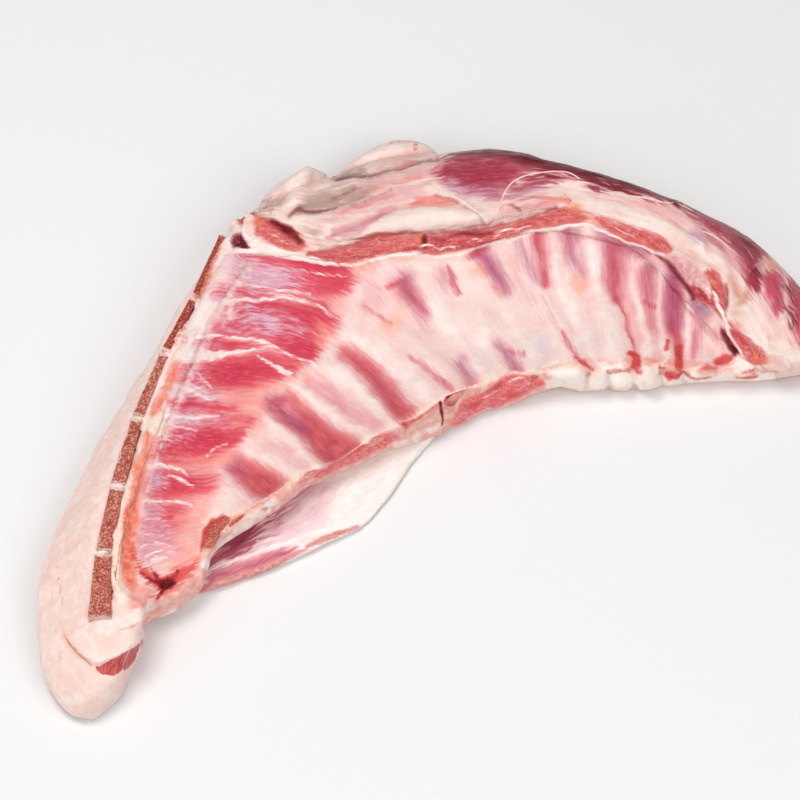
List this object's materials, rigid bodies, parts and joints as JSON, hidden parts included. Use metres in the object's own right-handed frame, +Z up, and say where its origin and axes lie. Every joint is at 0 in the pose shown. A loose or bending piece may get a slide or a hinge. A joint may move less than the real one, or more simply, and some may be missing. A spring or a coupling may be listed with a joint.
{
  "type": "lamb ribs",
  "caption": "Raw side of lamb ribs lying lined inside up: curved rib wall between a split breastbone with its fat and a folded flank.",
  "frame": {"origin": "under the middle of the piece, on the surface that it lies on", "axes": "+X from the neck end to the loin end, +Y from the sawn rib ends to the breastbone and flank, +Z up, out of the lined inside"},
  "size_m": [0.3984, 0.2052, 0.037],
  "materials": {
    "lining": "moist, satin",
    "bone": "sawn, spongy",
    "breastbone": "sawn, spongy",
    "fat": "smooth, waxy",
    "membrane": "moist, satin",
    "muscle": "cut, moist",
    "flap": "moist, satin"
  },
  "bodies": {
    "root": {"rib_wall": "lining", "rib_1": "bone", "rib_2": "bone", "rib_3": "bone", "rib_4": "bone", "rib_5": "bone", "rib_6": "bone", "rib_7": "bone", "rib_8": "bone", "rib_9": "bone", "rib_10": "bone", "rib_11": "bone", "breastbone_1": "breastbone", "breastbone_2": "breastbone", "breastbone_3": "breastbone", "breastbone_4": "breastbone", "breastbone_5": "breastbone", "breastbone_6": "breastbone", "brisket_fat": "fat", "flank": "membrane", "skirt": "muscle", "breast_flap": "flap"}
  },
  "joints": []
}
